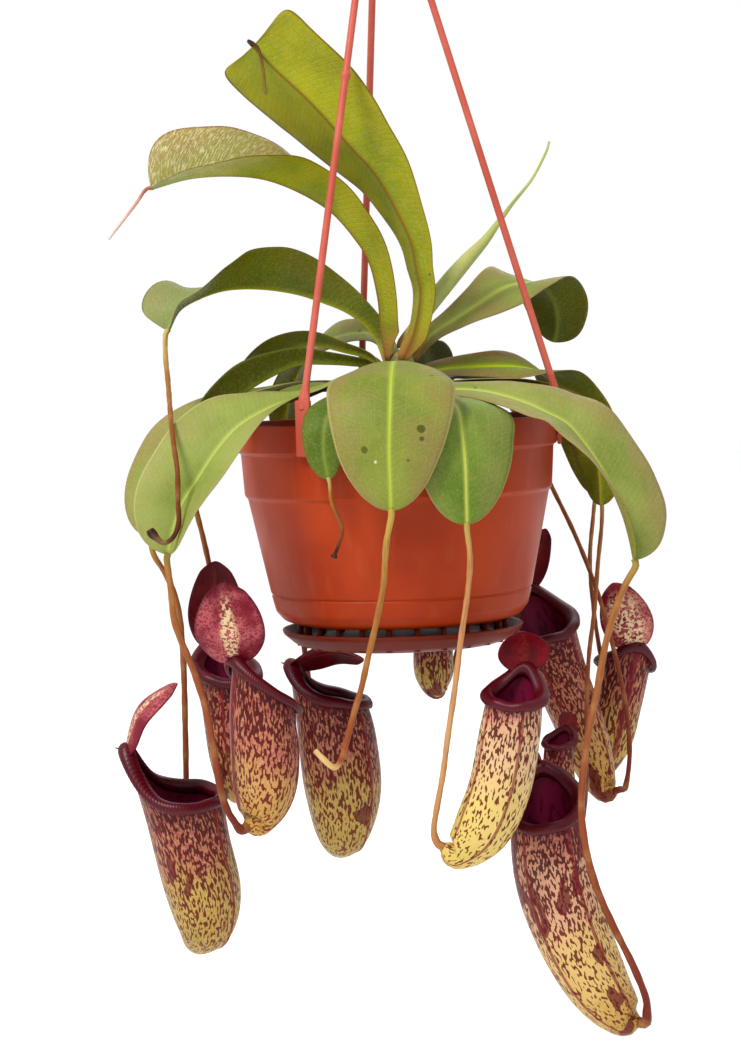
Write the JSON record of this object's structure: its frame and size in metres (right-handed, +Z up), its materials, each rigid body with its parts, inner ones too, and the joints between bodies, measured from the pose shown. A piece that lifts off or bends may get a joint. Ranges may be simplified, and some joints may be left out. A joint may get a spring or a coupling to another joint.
{
  "type": "hanging pitcher plant",
  "caption": "Potted tropical pitcher plant in a round plastic pot with a clip-on saucer, hung from a hook by thin plastic strands; spotted pitchers dangle on tendrils below the rim.",
  "frame": {"origin": "the bearing point at the top inside of the hanger's hook, on the pot's axis", "axes": "+Z up along the hanging axis, -Y towards the viewer of the picture, +X to their right"},
  "size_m": [0.2949, 0.2209, 0.6592],
  "materials": {
    "terracotta_plastic": "satin moulded plastic, terracotta",
    "strand_plastic": "satin flexible plastic, salmon red",
    "potting_mix": "loose bark and peat",
    "stem_tissue": "matte green-brown stem",
    "leaf_tissue": "waxy leaf, pale midrib",
    "tendril_tissue": "smooth tan to red-brown tendril",
    "pitcher_tissue": "waxy cream with maroon blotches, dark red lip"
  },
  "bodies": {
    "root": {"pot": "terracotta_plastic", "saucer": "terracotta_plastic", "soil": "potting_mix", "strand_right": "strand_plastic", "strand_back": "strand_plastic", "strand_left": "strand_plastic", "hanger_hook": "strand_plastic", "stem": "stem_tissue", "leaf_tall": "leaf_tissue", "leaf_arching": "leaf_tissue", "leaf_bowed": "leaf_tissue", "leaf_left_upper": "leaf_tissue", "leaf_left_dark": "leaf_tissue", "leaf_left_low": "leaf_tissue", "leaf_front_left": "leaf_tissue", "leaf_far_left": "leaf_tissue", "leaf_small_front": "leaf_tissue", "leaf_front": "leaf_tissue", "leaf_front_right": "leaf_tissue", "leaf_right": "leaf_tissue", "leaf_right_back": "leaf_tissue", "leaf_right_high": "leaf_tissue", "leaf_right_low": "leaf_tissue", "leaf_crown_back": "leaf_tissue", "leaf_back_left": "leaf_tissue", "leaf_back_right": "leaf_tissue", "leaf_spear": "leaf_tissue", "tendril_tall": "tendril_tissue", "tendril_arching": "tendril_tissue", "tendril_bowed": "tendril_tissue", "tendril_left_upper": "tendril_tissue", "tendril_front_left": "tendril_tissue", "tendril_far_left": "tendril_tissue", "tendril_small_front": "tendril_tissue", "tendril_front": "tendril_tissue", "tendril_front_right": "tendril_tissue", "tendril_right": "tendril_tissue", "tendril_right_back": "tendril_tissue", "tendril_right_low": "tendril_tissue", "tendril_crown_back": "tendril_tissue", "tendril_back_left": "tendril_tissue", "tendril_back_right": "tendril_tissue", "pitcher_far_left": "pitcher_tissue", "pitcher_left": "pitcher_tissue", "pitcher_left_rear": "pitcher_tissue", "pitcher_left_centre": "pitcher_tissue", "pitcher_front": "pitcher_tissue", "pitcher_lowest": "pitcher_tissue", "pitcher_right_rear": "pitcher_tissue", "pitcher_far_right": "pitcher_tissue", "pitcher_small": "pitcher_tissue", "pitcher_back": "pitcher_tissue"}
  },
  "joints": []
}
